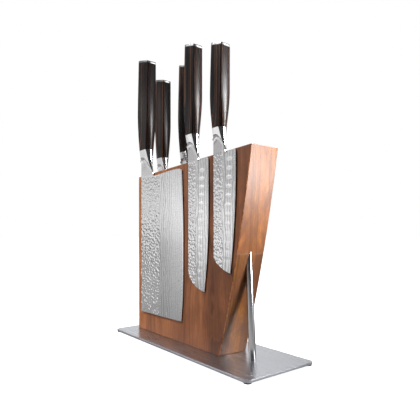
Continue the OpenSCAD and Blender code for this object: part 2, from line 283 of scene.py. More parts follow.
def growth_rings(s, p, seed, pith, light, dark):
    """Colour by the distance to the stave's pith, which wanders along the grain."""
    x, y, _ = s.split(p)
    sway = s.noise(s.mapping(p, (1, 1, 0.22), (seed, seed * 0.7, 0)), 16, 2)
    tremble = s.noise(s.mapping(p, (1, 1, 0.35), (0, seed, seed)), 60, 2)
    dx = s.minus(x, pith[0] * MM)
    dy = s.minus(y, pith[1] * MM)
    radius = s.math("SQRT", s.math("ADD", s.times(dx, dx), s.times(dy, dy)))
    radius = s.fused(sway, 0.030, radius)
    radius = s.fused(tremble, 0.005, radius)
    rings = s.noise(s.join(radius, seed * 1.3, 0.0), 260, 4, 0.65)
    broad = s.noise(s.join(radius, seed * 2.1, 0.0), 45, 2, 0.5)
    between = tuple(a * 0.55 + b * 0.45 for a, b in zip(light, dark))
    return s.ramp(s.fused(rings, 0.55, s.times(broad, 0.45)), [
        (0.38, scaled(dark, 0.45)), (0.50, between), (0.62, scaled(light, 1.12))])


def flank_colour(s, p, seed, colour, tint, dark, fleck):
    """More golden and livelier figure, for the flared side. The tint passed in is partly the
    wood's own colour and partly painted light: brighter on the upper stave, darker on the lower
    one.
    """
    swirl = s.noise(s.mapping(p, (1, 1, 0.55), (seed, 4, 0)), 26, 3, 0.55, 1.2)
    golden = s.mix(1.0, colour, tint, "MULTIPLY")
    golden = s.mix(s.remap(swirl, 0.44, 0.58, 0.0, 0.72), golden, scaled(dark, 0.60))
    return s.mix(s.remap(fleck, 0.5, 0.7, 0.0, 0.35), golden, scaled(dark, 0.7))


def wood_material(name, seed, pith, light, dark, flank_tint_and_painted_light):
    """Oiled hardwood with its grain upright: growth rings, figure, fibres and pores. Its eased
    edges are paler, partly wear and partly a painted highlight, and the flared side's tint also
    carries painted light.
    """
    light, dark = warmed(light), warmed(dark)
    s = Shader(name)
    p = s.place()
    colour = growth_rings(s, p, seed, pith, light, dark)
    figure = s.noise(s.mapping(p, (1, 1, 1.4), (seed, 0, seed)), 30, 3, 0.6, 0.6)
    colour = s.mix(s.remap(figure, 0.35, 0.7, 0.0, 0.45), colour, scaled(dark, 0.62))
    fibre = s.noise(s.mapping(p, (1, 1, 0.03), (0, 0, seed)), 900, 2, 0.7)
    colour = s.mix(s.remap(fibre, 0.3, 0.75, 0.0, 0.62), colour, scaled(dark, 0.5))
    fleck = s.noise(s.mapping(p, (1, 1, 0.3), (seed, 0, 9)), 700, 2, 0.6)
    facing = s.split(s.node("ShaderNodeTexCoord").outputs["Normal"])[0]
    flank = s.remap(facing, 0.4, 0.7, 0.0, 1.0)
    colour = s.mix(flank, colour, flank_colour(s, p, seed, colour, flank_tint_and_painted_light, dark, fleck))
    # Eased edges painted paler and speckled: partly worn wood, partly a painted highlight along
    # the chamfers.
    worn_edge_and_painted_highlight = s.times(s.remap(facing, 0.15, 0.35, 0, 1), s.remap(facing, 0.75, 0.95, 1, 0))
    worn_edge_and_painted_highlight = s.times(worn_edge_and_painted_highlight, s.remap(fleck, 0.4, 0.6, 0.1, 0.8))
    colour = s.mix(worn_edge_and_painted_highlight, colour, tuple(min(c * 2.2, 0.8) for c in light))
    pores = s.noise(s.mapping(p, (1, 1, 0.07), (seed, 0, 0)), 1500, 1, 0.5)
    pore = s.remap(pores, 0.66, 0.76, 0, 1)
    colour = s.mix(s.times(pore, 0.65), colour, (0.035, 0.017, 0.009))
    s.bump(s.minus(s.times(fibre, 0.4), pore), 0.25, 0.00012)
    rough = s.minus(s.remap(fibre, 0.2, 0.8, 0.46, 0.58), s.times(flank, 0.18))
    return s.surface(Base_Color=colour, Roughness=rough, Specular_IOR_Level=0.28,
                     Coat_Weight=s.times(flank, 0.6), Coat_Roughness=0.32)


def grip_material(name, knife):
    """Polished laminated handle wood: thin dark layers with a few orange-brown ones."""
    s = Shader(name)
    p = s.place()
    x, y, z = s.split(p)
    centre, pull = knife["streaks"]
    across = s.minus(s.math("DIVIDE", x, MM), knife["cx"] + centre)
    wander = s.noise(s.mapping(p, (1, 1, 0.25), (knife["seed"], 0, 0)), 55, 2)
    across = s.fused(wander, 3.4, s.minus(across, 1.7))
    depth = s.math("ABSOLUTE", s.math("DIVIDE", y, MM))
    along = s.math("DIVIDE", s.minus(z, knife["neck"] * MM), knife["grip"] * MM)
    near = s.math("POWER", s.math("SUBTRACT", 1.0, along, clamp=True), 5.0)
    layers = s.fused(s.times(across, across), -0.055, depth)
    layers = s.fused(near, -pull * 9, layers)
    fine = s.noise(s.mapping(p, (1, 1, 0.08), (0, knife["seed"], 0)), 420, 2)
    layers = s.fused(fine, 0.32, layers)
    cell = s.node("ShaderNodeTexVoronoi", voronoi_dimensions="1D", feature="F1")
    s.put(cell.inputs["W"], s.math("ADD", layers, knife["seed"] * 7.7))
    cell.inputs["Scale"].default_value = 2.9
    pick = s.split(cell.outputs["Color"])[0]
    colour = s.ramp(pick, [
        (0.00, (0.0034, 0.0031, 0.0040)), (0.30, (0.0070, 0.0060, 0.0072)),
        (0.60, (0.0100, 0.0080, 0.0090)), (0.80, (0.016, 0.0105, 0.0100)),
        (0.88, (0.060, 0.028, 0.016)), (0.97, (0.20, 0.080, 0.036))])
    streak = s.noise(s.mapping(p, (1, 1, 0.035), (0, 0, knife["seed"])), 1100, 2, 0.65)
    colour = s.mix(s.remap(streak, 0.42, 0.72, 0.0, 0.75), colour, (0.004, 0.0035, 0.004))
    pale = s.noise(s.mapping(p, (1, 1, 0.05), (knife["seed"], 0, 5)), 1500, 2, 0.6)
    colour = s.mix(s.remap(pale, 0.6, 0.78, 0.0, 0.35), colour, (0.055, 0.048, 0.050))
    s.bump(streak, 0.12, 0.00006)
    return s.surface(Base_Color=colour, Roughness=s.remap(streak, 0.2, 0.8, 0.20, 0.30),
                     Specular_IOR_Level=0.15)


def plate_material():
    """Stainless sheet brushed along its length, with faint wiping marks."""
    s = Shader("brushed_plate")
    p = s.place()
    lines = s.noise(s.mapping(p, (0.012, 1, 1)), 2600, 3, 0.7)
    broad = s.noise(s.mapping(p, (0.05, 1, 1)), 320, 2)
    cloud = s.noise(p, 14, 3)
    tone = s.fused(broad, 0.3, s.times(lines, 0.7))
    colour = s.ramp(tone, [(0.3, (0.45, 0.46, 0.495)), (0.7, (0.56, 0.57, 0.61))])
    rough = s.fused(cloud, 0.05, s.remap(lines, 0.25, 0.75, 0.22, 0.30))
    s.bump(lines, 0.06, 0.00003)
    return s.surface(Base_Color=colour, Metallic=1.0, Roughness=rough)


def polished_material(name, tint, rough, scale=(1, 1, 0.04)):
    """Polished steel with the finest directional polishing marks."""
    s = Shader(name)
    p = s.place()
    marks = s.noise(s.mapping(p, scale), 3000, 2, 0.6)
    smear = s.noise(p, 70, 2)
    colour = s.mix(s.remap(marks, 0.35, 0.7, 0.0, 0.5), tint, scaled(tint, 0.9))
    s.bump(marks, 0.05, 0.00002)
    return s.surface(Base_Color=colour, Metallic=1.0, Roughness=s.fused(smear, 0.05, rough))


def layer_lines(s, x, bend, tremble):
    """Dark wavy lines where the steel's layers come out, running down the blade."""
    layer = s.fused(bend, 0.014, x)
    layer = s.fused(tremble, 0.0022, layer)
    broad = s.noise(s.join(layer, 0.0, 0.0), 330, 2, 0.6)
    narrow = s.noise(s.join(layer, 3.0, 0.0), 900, 2, 0.6)
    wave = s.math("SINE", s.times(layer, 2 * math.pi / LAYER_SPACING))
    wave = s.fused(s.minus(broad, 0.5), 3.0, wave)
    return s.math("ADD", s.remap(wave, -0.1, 0.7, 0, 0.9), s.remap(narrow, 0.46, 0.60, 0, 0.3))


def blade_material(name, knife, hammered_to, dimples=None):
    """Layered steel: wavy etched lines next to the hammered part, satin on the rest. The
    hammered part is painted lighter towards the bottom of the blade, and the dimples get a
    painted highlight.
    """
    s = Shader(name)
    p = s.place()
    x, _, z = s.split(p)
    bend = s.noise(s.mapping(p, (1, 1, 0.55), (knife["seed"], 0, 0)), 42, 3, 0.6)
    tremble = s.noise(s.mapping(p, (1, 1, 0.8), (0, 0, knife["seed"])), 170, 2, 0.5)
    ragged = s.fused(tremble, 0.009, s.minus(x, 0.0045))
    outside = s.remap(ragged, (hammered_to - 5) * MM, (hammered_to + 1) * MM, 0, 1)
    fade = s.remap(x, (hammered_to + 2) * MM, (hammered_to + 38) * MM, 1.0, 0.30)
    amount = s.times(s.times(outside, fade), layer_lines(s, x, bend, tremble))
    brushed = s.noise(s.mapping(p, (0.04, 1, 1)), 2400, 2, 0.6)
    satin_colour = s.mix(s.remap(brushed, 0.35, 0.7, 0, 0.4),
                         (0.72, 0.715, 0.725), (0.66, 0.655, 0.665))
    colour = s.mix(s.times(amount, 0.85), satin_colour, (0.36, 0.355, 0.36))
    # Painted highlight: the hammered part's colour gets lighter towards the bottom of the blade,
    # standing in for light its lower part doesn't reflect.
    worked = s.mix(s.remap(z, -0.15, -0.05, 0, 1), (0.71, 0.70, 0.705), (0.55, 0.54, 0.545))
    colour = s.mix(outside, worked, colour)
    if dimples:
        # Dimples painted paler: a painted highlight that fades down the blade.
        colour = s.mix(dimple_painted_highlight_mask(s, x, z, dimples), colour, (0.93, 0.93, 0.94))
    satin = s.fused(amount, 0.05, s.remap(brushed, 0.3, 0.7, 0.25, 0.31))
    rough = s.times(satin, s.remap(outside, 0, 1, 0.70, 1.0))
    s.bump(brushed, 0.05, 0.00003)
    return s.surface(Base_Color=colour, Metallic=1.0, Roughness=rough)


def dimple_painted_highlight_mask(s, x, z, dimples):
    """Mask of a painted highlight: one inside each of a row of dimples, fading down the blade.
    """
    first, step = np.array(dimples[0]), np.array(dimples[1]) - np.array(dimples[0])
    last = len(dimples) - 1
    count = s.math("DIVIDE", s.minus(z, first[1] * MM), step[1] * MM)
    share = s.minus(s.math("FRACT", s.math("ADD", count, 0.5)), 0.5)
    off_x = s.minus(x, s.fused(count, step[0] * MM, first[0] * MM))
    a = s.math("POWER", s.math("DIVIDE", off_x, DIMPLE_RX * MM), 2.0)
    b = s.math("POWER", s.times(share, step[1] / DIMPLE_RZ), 2.0)
    within = s.remap(s.math("ADD", a, b), 0.75, 1.05, 1.0, 0.0)
    fade = s.remap(count, 1.0, last, 0.65, 0.08)
    row = s.times(s.remap(count, -0.55, -0.45, 0, 1),
                  s.remap(count, last + 0.45, last + 0.55, 1, 0))
    return s.times(s.times(within, fade), row)


def rubber_material():
    s = Shader("foot_rubber")
    grain = s.noise(s.place(), 1800, 2)
    colour = s.ramp(grain, [(0.3, (0.010, 0.010, 0.011)), (0.7, (0.022, 0.022, 0.023))])
    s.bump(grain, 0.2, 0.00005)
    return s.surface(Base_Color=colour, Roughness=s.remap(grain, 0.3, 0.7, 0.55, 0.75))


def metal_material(name, low, high, rough):
    """Plated metal with a mottled surface, for screws and magnets."""
    s = Shader(name)
    mottle = s.noise(s.place(), 420, 3)
    s.bump(mottle, 0.1, 0.00003)
    return s.surface(Base_Color=s.ramp(mottle, [(0.3, low), (0.7, high)]), Metallic=1.0,
                     Roughness=s.fused(mottle, 0.1, rough))


# ------------------------------------------------------------------ mesh helpers

def piece(name, verts, faces, material, body, nodes, origin=(0, 0, 0), sharp=24):
    """A named piece from points in millimetres, riding on a CAD body."""
    mesh = bpy.data.meshes.new(name)
    mesh.from_pydata([tuple(float(c) * MM for c in v) for v in verts], [], faces)
    bm = bmesh.new()
    bm.from_mesh(mesh)
    bmesh.ops.recalc_face_normals(bm, faces=bm.faces)
    bm.to_mesh(mesh)
    bm.free()
    finish_mesh(mesh, sharp)
    dress(name, mesh, material, body, nodes, origin)


def finish_mesh(mesh, sharp):
    """Smooth shading, with edges kept sharp above the given angle in degrees."""
    mesh.polygons.foreach_set("use_smooth", [True] * len(mesh.polygons))
    mesh.set_sharp_from_angle(angle=math.radians(sharp))
    mesh.update()


def dress(name, mesh, material, body, nodes, origin=(0, 0, 0)):
    """The object for a mesh, riding on a body in place of the CAD nodes."""
    obj = bpy.data.objects.new(name, mesh)
    bpy.context.scene.collection.objects.link(obj)
    obj.location = Vector(origin) * MM
    mesh.materials.clear()
    mesh.materials.append(material)
    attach(obj, body)
    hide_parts(*nodes)


def spline(points, step=1.0):
    """Catmull-Rom line through the points, in steps of about the given length."""
    p = np.array(points, float)
    ends = np.vstack([2 * p[0] - p[1], p, 2 * p[-1] - p[-2]])
    out = []
    for a, b, c, d in zip(ends[:-3], ends[1:-2], ends[2:-1], ends[3:]):
        n = max(1, int(round(np.linalg.norm(c - b) / step)))
        for t in np.arange(n) / n:
            out.append(0.5 * (2 * b + (c - a) * t + (2 * a - 5 * b + 4 * c - d) * t * t
                              + (3 * b - a - 3 * c + d) * t ** 3))
    out.append(p[-1])
    return np.array(out)


def straight(a, b, step=1.0):
    """Points along a straight line, about a step apart."""
    a, b = np.array(a, float), np.array(b, float)
    n = max(1, int(round(np.linalg.norm(b - a) / step)))
    return a + (b - a) * np.linspace(0, 1, n + 1)[:, None]


def path(*parts):
    """One line from several, without their doubled end points."""
    points = [parts[0]]
    for part in parts[1:]:
        skip = np.linalg.norm(points[-1][-1] - part[0]) < 1e-6
        points.append(part[1:] if skip else part)
    return np.vstack(points)


def distance(points, line):
    """Distance of each point to a polyline, in millimetres."""
    points = np.atleast_2d(points)
    best = np.full(len(points), 1e9)
    for a, b in zip(line[:-1], line[1:]):
        way = b - a
        t = np.clip(((points - a) @ way) / max(way @ way, 1e-12), 0, 1)
        best = np.minimum(best, np.linalg.norm(points - a - t[:, None] * way, axis=1))
    return best


def inside(points, loop):
    """Which points lie inside a closed outline."""
    x, z = points[:, 0], points[:, 1]
    hit = np.zeros(len(points), bool)
    for (ax, az), (bx, bz) in zip(loop, np.roll(loop, -1, axis=0)):
        if az == bz:
            continue
        cross = (az > z) != (bz > z)
        hit ^= cross & (x < (bx - ax) * (z - az) / (bz - az) + ax)
    return hit


def lattice(low, high, step):
    """Points of a triangular lattice over a rectangle."""
    rows = np.arange(low[1], high[1], step * 0.866)
    out = []
    for i, z in enumerate(rows):
        xs = np.arange(low[0] + (i % 2) * step / 2, high[0], step)
        out.append(np.column_stack([xs, np.full(len(xs), z)]))
    return np.vstack(out)


def relief_solid(loop, fill, half, creases=(), bulge=None):
    """Closed solid over an outline, with the same relief on both faces. half gives half
    the thickness at an array of points, and bulge how far the wall there is rounded."""
    closed = np.vstack([loop, loop[:1]])
    fill = fill[inside(fill, loop)]
    fill = fill[distance(fill, closed) > 0.35]
    for line in creases:
        fill = fill[distance(fill, line) > 0.22]
    n = len(loop)
    coords = list(map(tuple, loop))
    edges = [(i, (i + 1) % n) for i in range(n)]
    for line in creases:
        start = len(coords)
        coords += list(map(tuple, line))
        edges += [(start + i, start + i + 1) for i in range(len(line) - 1)]
    coords += list(map(tuple, fill))
    made = delaunay_2d_cdt([Vector(c) for c in coords], edges, [list(range(n))], 1, 1e-4)
    flat = np.array([tuple(v) for v in made[0]])
    h = half(flat)
    m = len(flat)
    verts = np.vstack([np.column_stack([flat[:, 0], -h, flat[:, 1]]),
                       np.column_stack([flat[:, 0], h, flat[:, 1]])])
    faces, used = [], {}
    for a, b, c in made[2]:
        (ax, az), (bx, bz), (cx, cz) = flat[a], flat[b], flat[c]
        if (bx - ax) * (cz - az) - (bz - az) * (cx - ax) < 0:
            b, c = c, b
        faces += [(a, b, c), (m + a, m + c, m + b)]
        used.update(dict.fromkeys(((a, b), (b, c), (c, a))))
    rim = [e for e in used if (e[1], e[0]) not in used]
    if bulge is None:
        return verts, faces + [(b, a, m + a, m + b) for a, b in rim]
    return rounded_wall(flat, h, verts, faces, rim, bulge(flat, h))


def rounded_wall(flat, h, verts, faces, rim, swelling):
    """Wall between the two faces in four strips, bulging outwards."""
    m = len(flat)
    outward = np.zeros((m, 2))
    for a, b in rim:
        way = flat[b] - flat[a]
        outward[[a, b]] += np.array([way[1], -way[0]]) / max(np.linalg.norm(way), 1e-9)
    outward /= np.maximum(np.linalg.norm(outward, axis=1), 1e-9)[:, None]
    rows = [np.arange(m)]
    for share in (-0.6, 0.0, 0.6):
        out = outward * (swelling * (1 - share * share))[:, None]
        rows.append(len(verts) + np.arange(m))
        verts = np.vstack([verts, np.column_stack([flat[:, 0] + out[:, 0], share * h,
                                                   flat[:, 1] + out[:, 1]])])
    rows.append(np.arange(m) + m)
    for low, high in zip(rows[:-1], rows[1:]):
        faces += [(low[b], low[a], high[a], high[b]) for a, b in rim]
    used = sorted({i for face in faces for i in face})
    place = {old: new for new, old in enumerate(used)}
    return verts[used], [tuple(place[i] for i in face) for face in faces]


# ------------------------------------------------------------------ knives

def left_edge(k, z):
    """Spine side of the neck and collar, from the spine at the heel out to the collar."""
    collar = k["cx"] - k["w"] * COLLAR_REACH
    t = np.clip(z / k["neck"], 0, 1)
    return collar * t ** 1.4


def right_edge(k, z):
    """Edge side of the bolster, down to the arc's lower end."""
    line = spline(sorted(k["right"]), 0.5)
    return np.interp(z, line[:, 0], line[:, 1])


def body_half(k, points):
    """Half thickness of the bolster's tapering eight-sided body, and its facets' width."""
    x, z = points[:, 0], points[:, 1]
    t = np.clip((z - BOLSTER_FOOT) / (k["neck"] - BOLSTER_FOOT), 0, 1)
    full = k["t"] * BOLSTER_SHARE
    half = BLADE_HALF + (full / 2 - BLADE_HALF) * (0.25 * t * t + 0.75 * t)
    cut = 0.35 + (k["cut"] - 0.35) * t ** 0.8
    left, right = left_edge(k, z), right_edge(k, z)
    near = np.minimum(x - left, right - x)
    across = np.clip((2 * x - left - right) / (right - left), -1, 1)
    crown = BOLSTER_CROWN * (1 - across ** 2)
    return half + t * (crown - BOLSTER_CROWN / 2) - np.maximum(0, cut - near), cut


def swell(z):
    """How far the flat of the neck comes out where it meets the arc."""
    return NECK_SWELL * np.clip((z - 5.0) / 9.0, 0, 1)


def neck_half(points, arc):
    """Flat of the neck, curving outwards where it runs up to the arc."""
    return BLADE_HALF + swell(points[:, 1]) * np.exp(-distance(points, arc) / NECK_RUN)


def ledge_half(points, arc):
    """The ledge that rises from the neck's flat beside the arc."""
    return BLADE_HALF + swell(points[:, 1]) + LEDGE_SLOPE * distance(points, arc)


def ledge_crease(k, arc):
    """Where the ledge along the arc comes out on the bolster's face."""
    run = np.arange(0.02, 3, 0.02)
    line = []
    for i in range(1, len(arc) - 1):
        way = arc[i + 1] - arc[i - 1]
        out = np.array([-way[1], way[0]]) / np.linalg.norm(way)
        steps = arc[i] + out * run[:, None]
        under = body_half(k, steps)[0] < ledge_half(steps, arc)
        first = int(np.argmax(under))
        if under[first] and run[first] > 0.35:
            line.append(steps[first])
    return np.array(line)


def facet_crease(k, edge, sign, loop, arc, avoid):
    """Line between the bolster's face and the slanting facet along one of its edges."""
    zs = np.arange(arc[-1][1] + 1, k["neck"] - 0.35, 0.5)
    x = edge(k, zs)
    line = np.column_stack([x, zs])
    line[:, 0] += sign * body_half(k, line)[1]
    clear = inside(line, loop) & (distance(line, arc) > 0.5)
    if len(avoid) > 1:
        clear &= distance(line, avoid) > 0.5
    return line[clear]


def bolster_piece(k, material):
    arc = spline(k["arc"], 0.6)
    foot, top = arc[-1], k["neck"]
    right = np.array([(float(right_edge(k, z)), z) for z in np.arange(foot[1] + 0.5, top, 0.5)])
    left = np.array([(float(left_edge(k, z)), z) for z in np.arange(top, arc[0][1], -0.5)])
    loop = path(arc, right, straight((float(right_edge(k, top)), top),
                                     (float(left_edge(k, top)), top)), left[1:])
    creases = [ledge_crease(k, arc)]
    for edge, sign in ((right_edge, -1), (left_edge, 1)):
        creases.append(facet_crease(k, edge, sign, loop, arc, creases[0]))
    creases = [line for line in creases if len(line) > 2]
    outer = path(right, left)

    def half(points):
        return np.minimum(body_half(k, points)[0], ledge_half(points, arc))

    def bulge(points, h):
        free = (distance(points, arc) > 0.6) & (points[:, 1] < top - 0.2)
        return np.where(free & (distance(points, outer) < 0.1), WALL_BULGE * h, 0)

    fill = lattice(loop.min(0), loop.max(0), BOLSTER_STEP)
    knife_piece(k, "bolster_forged", "bolster", relief_solid(loop, fill, half, creases, bulge),
                material, 24)


def knife_piece(k, part, node, shape, material, sharp):
    """A knife's piece, with its origin where the spine meets the heel."""
    origin = (k["spine"], k["side"] * (BLOCK_HALF + BLADE_GAP + BLADE_HALF), k["heel"])
    verts, faces = shape
    piece(f"{k['name']}_{part}", verts, faces, material, k["name"], [f"{k['name']}_{node}"],
          origin, sharp)


def hammer_relief(points, seed):
    """Shallow bowls left by a hammer, as the lower envelope of scattered paraboloids."""
    rng = np.random.default_rng(seed)
    low, high = points.min(0) - HAMMER_PITCH, points.max(0) + HAMMER_PITCH
    cells = lattice(low, high, HAMMER_PITCH)
    cells = cells + rng.uniform(-0.36, 0.36, cells.shape) * HAMMER_PITCH
    lift = rng.uniform(0, 0.035, len(cells))
    size = rng.uniform(0.8, 1.25, len(cells))
    best = np.full(len(points), 9.0)
    for (cx, cz), up, wide in zip(cells, lift, size):
        near = np.abs(points[:, 1] - cz) < 2.2 * HAMMER_PITCH
        d = (points[near, 0] - cx) ** 2 * 1.15 + (points[near, 1] - cz) ** 2
        best[near] = np.minimum(best[near], d * 0.050 / wide + up)
    return np.clip(best, 0, HAMMER_DEPTH)


def near_dimples(points, dimples, reach_x, reach_z):
    near = np.zeros(len(points), bool)
    for dx, dz in dimples:
        near |= (abs(points[:, 0] - dx) < reach_x) & (abs(points[:, 1] - dz) < reach_z)
    return near


def blade_points(low, high, edge, hammered, dimples, step):
    """Points over a blade's box, close together where it has relief and else far apart."""
    fine = lattice(low, high, step)
    wanted = (fine[:, 0] < hammered(fine[:, 1]) + 2) & (fine[:, 1] < 4)
    wanted |= near_dimples(fine, dimples, 6.5, 4)
    wanted |= fine[:, 1] > 3
    wanted |= distance(fine, edge) < 2.4
    coarse = lattice(low, high, 2.6)
    plain = (coarse[:, 0] > hammered(coarse[:, 1]) + 3) | (coarse[:, 1] >= 5)
    plain &= ~near_dimples(coarse, dimples, 7, 4.6)
    return np.vstack([fine[wanted], coarse[plain]])


def blade_piece(k, outline, edge, hammered, dimples, step, seed, material):
    """Blade and neck in one forging. hammered gives the limit of the hammered part in x
    for an array of z, edge is the cutting edge, and dimples are (x, z) pairs."""
    arc = spline(k["arc"], 0.6)
    loop = path(arc, outline)
    fill = blade_points(loop.min(0), loop.max(0), edge, hammered, dimples, step)

    def half(points):
        x, z = points[:, 0], points[:, 1]
        to_edge = distance(points, edge)
        limit = hammered(z)
        run = np.maximum(edge_reach(edge, z) - limit - EDGE_BEVEL, 6)
        rise = np.clip((to_edge - EDGE_BEVEL) / run, 0, 1)
        ground = SHOULDER_HALF + (BLADE_HALF - SHOULDER_HALF) * rise
        bevel = EDGE_HALF + (SHOULDER_HALF - EDGE_HALF) * to_edge / EDGE_BEVEL
        base = np.where(to_edge < EDGE_BEVEL, bevel, ground)
        base = np.where(z > 1.0, neck_half(points, arc), base)
        worked = np.clip((limit - x) / 1.6, 0, 1) * np.clip((-1.0 - z) / 3.0, 0, 1)
        deeper = 1 + 0.6 * np.clip((-60 - z) / 100, 0, 1)
        base = base - worked * deeper * (HAMMER_DEPTH - hammer_relief(points, seed))
        for dx, dz in dimples:
            d = ((x - dx) / DIMPLE_RX) ** 2 + ((z - dz) / DIMPLE_RZ) ** 2
            base = base - DIMPLE_DEPTH * np.clip(1 - d, 0, None)
        return np.maximum(base, EDGE_HALF)

    knife_piece(k, "blade_forged", "blade", relief_solid(loop, fill, half), material,
                30)


def edge_reach(edge, z):
    """How far out in x the cutting edge is at each z."""
    order = np.argsort(edge[:, 1])
    return np.interp(z, edge[order, 1], edge[order, 0])


def notch(k, to_heel):
    """From the arc's lower end round the small notch at the choil to the heel line."""
    foot = np.array(k["arc"][-1], float)
    return spline([foot, (foot[0] + 0.6, -0.9), (foot[0] + 2.4, -2.3), to_heel], 0.5)


def wavy_limit(base, slope, seed, length):
    """Uneven limit of the hammered part, in x for an array of z."""
    rng = np.random.default_rng(seed)
    knots = np.arange(-length - 20, 40, 7.0)
    values = base + slope * knots + rng.uniform(-1.3, 1.3, len(knots))
    return lambda z: np.interp(z, knots, values)


def cleaver_blade(k):
    edge = spline([(97.4, -2.0), (99.2, -6.0), (101.6, -56.6), (102.0, -96.1),
                   (101.4, -148.6), (98.0, -187.2)], 1.2)
    heel = path(notch(k, (37.6, -2.6)),
                spline([(37.6, -2.6), (44.6, -2.4), (59.5, -1.2), (72.1, -0.4), (85.0, 0.0),
                        (95.0, -0.5), (97.4, -2.0)], 1.0))
    low = straight((98.0, -187.2), (1.5, -188.4), 1.2)
    spine = path(straight((1.5, -188.4), (0, -187.0), 0.7),
                 straight((0, -187.0), (0, 0), 0.9),
                 neck_left(k))
    outline = path(heel, edge, low, spine)[1:-1]
    limit = wavy_limit(49.5, 0.0, 5, 190)
    material = blade_material("cleaver_steel", k, 50)
    blade_piece(k, outline, edge, limit, [], 0.8, 17, material)


def neck_left(k):
    """Spine side of the neck, from the heel up to the arc."""
    top = k["arc"][0][1]
    zs = np.arange(0, top, 0.9)
    return np.array([(float(left_edge(k, z)), z) for z in zs] + [k["arc"][0]])


def santoku_shape(k, heel_x, edge_points, nose_points, limit, dimples, seed):
    """A sheep's foot blade with a row of dimples."""
    edge = spline(edge_points, 1.0)
    heel = path(notch(k, (heel_x, -0.6)),
                straight((heel_x, -0.6), (edge_points[0][0] - 1.6, 0.0), 1.0),
                straight((edge_points[0][0] - 1.6, 0.0), edge_points[0], 0.6))
    nose = spline(nose_points, 1.0)
    spine = path(straight(nose_points[-1], (0, 0), 0.9), neck_left(k))
    outline = path(heel, edge, nose, spine)[1:-1]
    hammered_to = float(limit(np.array([-60.0]))[0])
    material = blade_material(k["name"] + "_steel", k, hammered_to, dimples)
    blade_piece(k, outline, edge, limit, dimples, 0.75, seed, material)


def santoku_blade(k):
    edge = [(37.9, -1.6), (38.2, -25.0), (38.1, -56.5), (37.3, -88.5), (34.8, -120.9),
            (30.6, -152.0)]
    nose = [(30.6, -152.0), (20.4, -149.4), (11.0, -144.7), (3.4, -138.6), (0.3, -131.6)]
    dimples = [(26.7 - i * 0.354, -13.5 - i * 9.43) for i in range(14)]
    santoku_shape(k, 23.4, edge, nose, wavy_limit(17.2, 0.006, 8, 152), dimples, 29)


def small_santoku_blade(k):
    edge = [(36.0, -1.6), (36.1, -16.1), (35.5, -45.6), (33.6, -75.2), (30.9, -105.1),
            (27.2, -130.4)]
    nose = [(27.2, -130.4), (15.5, -126.2), (5.6, -120.5), (0.4, -115.4)]
    dimples = [(26.6 - i * 0.4, -9.2 - i * 9.7) for i in range(12)]
    santoku_shape(k, 23.6, edge, nose, wavy_limit(16.6, 0.004, 9, 130), dimples, 31)


def pointed_blade(k, w, length, seed):
    """A blade whose edge curves up to a point near the spine."""
    tip_x = w * 0.22
    edge_points = [(w, -2.0), (w, -length * 0.42), (w * 0.82, -length * 0.70),
                   (w * 0.52, -length * 0.88), (tip_x, -length + 0.3)]
    nose = [(tip_x, -length + 0.3), (tip_x * 0.42, -length * 0.84), (0.2, -length * 0.62)]
    edge = spline(edge_points, 1.0)
    choil = (k["arc"][-1][0] + 4.4, -0.6)
    heel = path(notch(k, choil), straight(choil, (w - 1.6, 0.0), 1.0),
                straight((w - 1.6, 0.0), edge_points[0], 0.6))
    spine = path(straight(nose[-1], (0, 0), 0.9), neck_left(k))
    outline = path(heel, edge, spline(nose, 1.0), spine)[1:-1]
    limit = wavy_limit(w * 0.46, 0.03, seed, length)
    material = blade_material(k["name"] + "_steel", k, w * 0.42)
    blade_piece(k, outline, edge, limit, [], 0.85, seed, material)


def section(w, t, cut_edge, cut_spine, round_edge, round_spine, crown_side, crown_face):
    """Points round a grip's section: four cornered, with its corners cut or rounded."""
    points = []
    corners = [(1, -1, cut_edge, round_edge), (1, 1, cut_edge, round_edge),
               (-1, 1, cut_spine, round_spine), (-1, -1, cut_spine, round_spine)]
    for sx, sy, cut, turn in corners:
        start = np.array([sx * (w / 2 - cut), sy * t / 2])
        end = np.array([sx * w / 2, sy * (t / 2 - cut)])
        if sx * sy > 0:
            start, end = end, start
        middle = np.array([sx * (w / 2 - cut), sy * (t / 2 - cut)])
        for i in range(5):
            line = start + (end - start) * i / 4
            angle = i / 4 * math.pi / 2
            arc = middle + (start - middle) * math.cos(angle) + (end - middle) * math.sin(angle)
            points.append(line * (1 - turn) + arc * turn)
    out = []
    for i in range(4):
        out += points[5 * i:5 * i + 5]
        a, b = points[5 * i + 4], points[(5 * i + 5) % 20]
        way = b - a
        rise = np.array([way[1], -way[0]]) * (crown_face if i % 2 else crown_side)
        for f in (0.2, 0.4, 0.6, 0.8):
            out.append(a + way * f + rise * 4 * f * (1 - f))
    return np.array(out)


def ease(a, b, t):
    """From a to b as t goes from 0 to 1, slow at both ends."""
    return a + (b - a) * t * t * (3 - 2 * t)


def grip_section(k, s, shrink=0.0):
    """Section at share s of the grip's length: cut corners at the collar, rounder higher up."""
    scale = np.interp(s, *zip(*GRIP_SCALE))
    t = min(s / 0.45, 1)
    edge_cut = ease(k["cut"], 1.3, t) if s < 0.45 else ease(1.3, 0.7, (s - 0.45) / 0.55)
    spine_cut = ease(k["cut"], 3.0, t)
    turn = min(s / 0.4, 1)
    crown = min(s / 0.7, 1)
    return section(k["w"] * scale - shrink, k["t"] * scale - shrink,
                   max(edge_cut - shrink / 3, 0.3), spine_cut, 0.3 * turn, 0.85 * turn,
                   0.085 - 0.045 * crown, 0.004 + 0.006 * crown)


def loft(rings):
    """Closed solid through rings of the same number of points."""
    n = len(rings[0])
    faces = []
    for r in range(len(rings) - 1):
        for i in range(n):
            j = (i + 1) % n
            faces.append((r * n + i, r * n + j, (r + 1) * n + j, (r + 1) * n + i))
    faces.append(tuple(range(n))[::-1])
    faces.append(tuple((len(rings) - 1) * n + i for i in range(n)))
    return np.vstack(rings), faces


